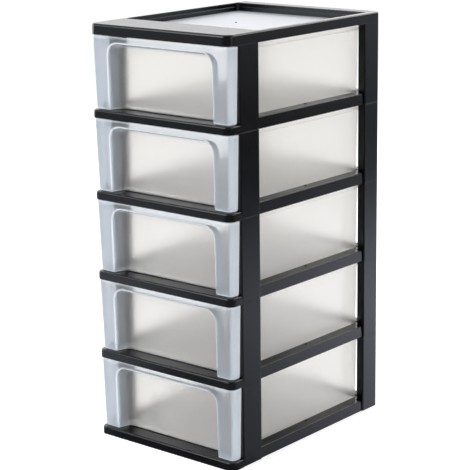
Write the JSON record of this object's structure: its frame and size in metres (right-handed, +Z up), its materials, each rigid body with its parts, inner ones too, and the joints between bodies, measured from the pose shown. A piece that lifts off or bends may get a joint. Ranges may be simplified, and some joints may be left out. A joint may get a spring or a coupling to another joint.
{
  "type": "plastic drawer tower",
  "caption": "Free-standing tower of stacked black tray shelves on channel posts, with frosted sliding drawers and a recessed tray top, for paper, craft supplies and small parts.",
  "frame": {"origin": "middle of the base, on the floor", "axes": "+Z up, +X to the right seen from the front, -Y towards the front where the drawers open"},
  "size_m": [0.26, 0.355, 0.622],
  "materials": {
    "black_plastic": "injection-moulded black polypropylene, satin",
    "frosted_plastic": "frosted natural polypropylene, see-through",
    "white_plastic": "white polypropylene sheet, fine matt"
  },
  "bodies": {
    "tower": {"shelf_1": "black_plastic", "shelf_2": "black_plastic", "shelf_3": "black_plastic", "shelf_4": "black_plastic", "shelf_5": "black_plastic", "front_left_post_1": "black_plastic", "front_left_post_2": "black_plastic", "front_left_post_3": "black_plastic", "front_left_post_4": "black_plastic", "front_left_post_5": "black_plastic", "front_right_post_1": "black_plastic", "front_right_post_2": "black_plastic", "front_right_post_3": "black_plastic", "front_right_post_4": "black_plastic", "front_right_post_5": "black_plastic", "back_left_post_1": "black_plastic", "back_left_post_2": "black_plastic", "back_left_post_3": "black_plastic", "back_left_post_4": "black_plastic", "back_left_post_5": "black_plastic", "back_right_post_1": "black_plastic", "back_right_post_2": "black_plastic", "back_right_post_3": "black_plastic", "back_right_post_4": "black_plastic", "back_right_post_5": "black_plastic", "top_cover": "black_plastic", "top_panel": "white_plastic"},
    "drawer_1": {"drawer_1": "frosted_plastic"},
    "drawer_2": {"drawer_2": "frosted_plastic"},
    "drawer_3": {"drawer_3": "frosted_plastic"},
    "drawer_4": {"drawer_4": "frosted_plastic"},
    "drawer_5": {"drawer_5": "frosted_plastic"}
  },
  "joints": [
    {"name": "drawer_1_slide", "type": "slide", "parent": "tower", "child": "drawer_1", "axis": [0, -1, 0], "range_m": [0, 0.24]},
    {"name": "drawer_2_slide", "type": "slide", "parent": "tower", "child": "drawer_2", "axis": [0, -1, 0], "range_m": [0, 0.24]},
    {"name": "drawer_3_slide", "type": "slide", "parent": "tower", "child": "drawer_3", "axis": [0, -1, 0], "range_m": [0, 0.24]},
    {"name": "drawer_4_slide", "type": "slide", "parent": "tower", "child": "drawer_4", "axis": [0, -1, 0], "range_m": [0, 0.24]},
    {"name": "drawer_5_slide", "type": "slide", "parent": "tower", "child": "drawer_5", "axis": [0, -1, 0], "range_m": [0, 0.24]}
  ]
}
